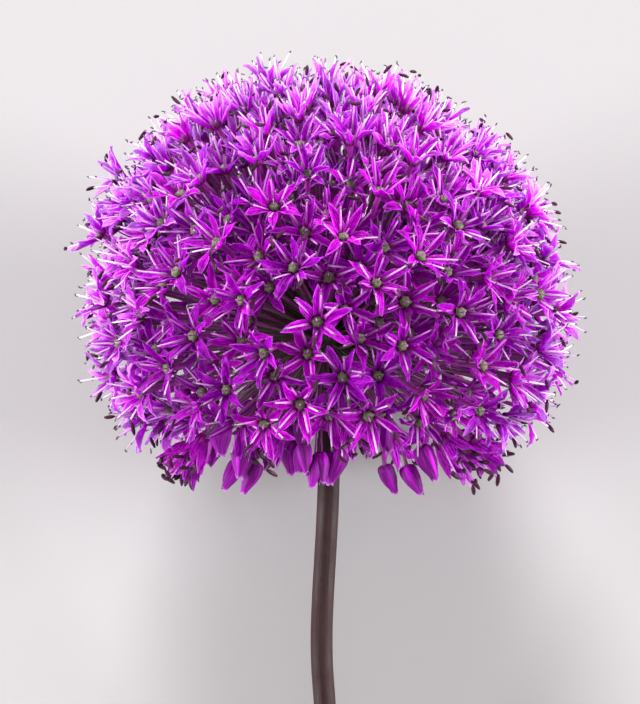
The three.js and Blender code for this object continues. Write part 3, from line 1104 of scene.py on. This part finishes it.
class ALLIUM_OT_stamens(bpy.types.Operator):
    """Add filaments, anthers, ovaries and styles of the open florets"""

    bl_idname = "allium.stamens"
    bl_label = "Stamens and ovaries"

    def execute(self, context):
        sizes, colours = sizes_of(context), colours_of(context)
        places = open_places(sizes)
        shapes = open_shapes(sizes)
        threads = filament_skin(colours)
        skins = {
            "filaments": threads,
            "styles": threads,
            "ripe_anthers": closed_anther_skin(colours, "closed_anther"),
            "shed_anthers": open_anther_skin(colours),
        }
        for name, skin in skins.items():
            finish_piece(copies(places, shapes.pick(name), FLORET_SHADE), name, skin)
        shape = ovary(sizes)
        finish_piece(copies(places, lambda place: shape, FLORET_SHADE), "ovaries", ovary_skin(colours))
        return {"FINISHED"}


class ALLIUM_OT_half_open(bpy.types.Operator):
    """Add the half-open florets round the lower edge, with their anthers still closed"""

    bl_idname = "allium.half_open"
    bl_label = "Half-open florets"

    SWELL = 1.14    # how much larger they are than the open ones

    def execute(self, context):
        sizes, colours = sizes_of(context), colours_of(context)
        places = bell_places(sizes)
        shapes = bell_shapes(sizes)
        skins = {
            "tepals": ("bell_tepals", tepal_skin(colours, "bell_skin", through=0.28, dark=0.2)),
            "ripe_anthers": ("bell_anthers", closed_anther_skin(colours, "bell_anther")),
            "filaments": ("bell_filaments", filament_skin(colours)),
        }
        for kind, (name, skin) in skins.items():
            finish_piece(copies(places, shapes.pick(kind), BELL_SHADE, self.SWELL), name, skin)
        return {"FINISHED"}


class ALLIUM_OT_buds(bpy.types.Operator):
    """Add the closed buds that hang below the florets"""

    bl_idname = "allium.buds"
    bl_label = "Buds"

    def execute(self, context):
        sizes = sizes_of(context)
        draw = random.Random(31)
        shapes = [bud_shape(sizes, draw) for _ in range(7)]

        def pick(place):
            return shapes[int(wobble(place.number, BUD_SHAPE) * len(shapes))]

        finish_piece(copies(bud_places(sizes), pick, BUD_SHADE), "buds", bud_skin(colours_of(context)))
        return {"FINISHED"}


class ALLIUM_PT_panel(bpy.types.Panel):
    """The sizes, the colours and the steps that make the flower"""

    bl_idname = "ALLIUM_PT_panel"
    bl_label = "Allium"
    bl_space_type = "VIEW_3D"
    bl_region_type = "UI"
    bl_category = "Allium"

    def draw(self, context):
        for step in STEPS:
            self.layout.operator(step.bl_idname)
        for group in (sizes_of(context), colours_of(context)):
            column = self.layout.column()
            for name in group.__annotations__:
                column.prop(group, name)


STEPS = (
    ALLIUM_OT_camera,
    ALLIUM_OT_stage,
    ALLIUM_OT_stem,
    ALLIUM_OT_stalks,
    ALLIUM_OT_tepals,
    ALLIUM_OT_stamens,
    ALLIUM_OT_half_open,
    ALLIUM_OT_buds,
)
CLASSES = (AlliumSizes, AlliumColours, *STEPS, ALLIUM_PT_panel)


def register():
    for cls in CLASSES:
        bpy.utils.register_class(cls)
    bpy.types.Scene.allium_sizes = PointerProperty(type=AlliumSizes)
    bpy.types.Scene.allium_colours = PointerProperty(type=AlliumColours)


def unregister():
    del bpy.types.Scene.allium_colours
    del bpy.types.Scene.allium_sizes
    for cls in reversed(CLASSES):
        bpy.utils.unregister_class(cls)


def main():
    register()
    bpy.ops.allium.camera()
    bpy.ops.allium.stage()
    bpy.ops.allium.stem()
    bpy.ops.allium.stalks()
    bpy.ops.allium.tepals()
    bpy.ops.allium.stamens()
    bpy.ops.allium.half_open()
    bpy.ops.allium.buds()


if __name__ == "__main__":
    main()
